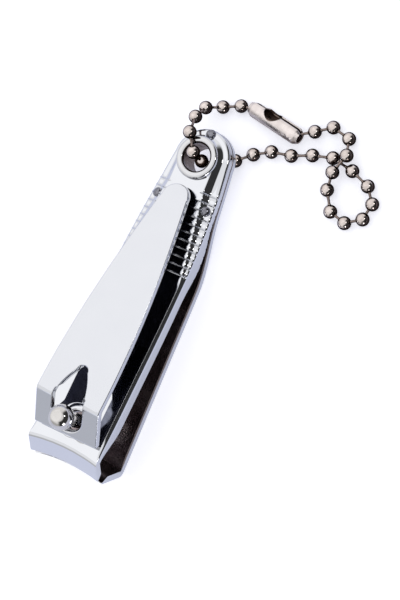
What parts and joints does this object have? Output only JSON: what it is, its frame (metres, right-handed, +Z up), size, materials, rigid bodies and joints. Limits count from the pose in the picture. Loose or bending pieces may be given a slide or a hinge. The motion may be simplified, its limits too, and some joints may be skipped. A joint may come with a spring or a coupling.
{
  "type": "nail clipper",
  "caption": "Compound-lever nail clipper with a folding lever, a swivelling post, a rolled eyelet and a ball chain clasped in a loop.",
  "frame": {"origin": "under the middle of the clipper, on the plane that its lower arm rests on", "axes": "+Z up, +Y from the jaws to the eyelet, +X across the jaws"},
  "size_m": [0.0419, 0.0786, 0.0202],
  "materials": {
    "arm_steel": "bright chrome plate on steel",
    "lever_steel": "bright chrome plate on steel",
    "post_steel": "turned and plated steel",
    "eyelet_steel": "rolled and plated steel",
    "chain_nickel": "warm bright nickel plate",
    "connector_nickel": "satin nickel plate"
  },
  "bodies": {
    "lower_arm_and_eyelet": {"lower_arm": "arm_steel", "eyelet": "eyelet_steel"},
    "upper_arm": {"upper_arm": "arm_steel"},
    "post": {"post": "post_steel"},
    "lever": {"lever": "lever_steel"},
    "chain": {"bead_01": "chain_nickel", "bead_02": "chain_nickel", "bead_03": "chain_nickel", "bead_04": "chain_nickel", "bead_05": "chain_nickel", "bead_06": "chain_nickel", "bead_07": "chain_nickel", "bead_08": "chain_nickel", "bead_09": "chain_nickel", "bead_10": "chain_nickel", "bead_11": "chain_nickel", "bead_12": "chain_nickel", "bead_13": "chain_nickel", "bead_14": "chain_nickel", "bead_15": "chain_nickel", "bead_16": "chain_nickel", "bead_17": "chain_nickel", "bead_18": "chain_nickel", "bead_19": "chain_nickel", "bead_20": "chain_nickel", "bead_21": "chain_nickel", "bead_22": "chain_nickel", "bead_23": "chain_nickel", "bead_24": "chain_nickel", "bead_25": "chain_nickel", "bead_26": "chain_nickel", "bead_27": "chain_nickel", "bead_28": "chain_nickel", "chain_connector": "connector_nickel"}
  },
  "joints": [
    {"name": "upper_arm_spring", "type": "hinge", "parent": "lower_arm_and_eyelet", "child": "upper_arm", "pos_m": [0, 0.0283, 0.0055], "axis": [1, 0, 0], "range_deg": [0, 1.8]},
    {"name": "post_swivel", "type": "hinge", "parent": "lower_arm_and_eyelet", "child": "post", "pos_m": [0, -0.0251, 0.01], "axis": [0, 0, 1], "continuous": true},
    {"name": "lever_flip", "type": "hinge", "parent": "post", "child": "lever", "pos_m": [0, -0.0274, 0.01365], "axis": [1, 0, 0], "range_deg": [0, 145]},
    {"name": "chain_swing", "type": "hinge", "parent": "lower_arm_and_eyelet", "child": "chain", "pos_m": [0, 0.0283, 0.005], "axis": [0, 0, 1], "range_deg": [-45, 45]}
  ]
}
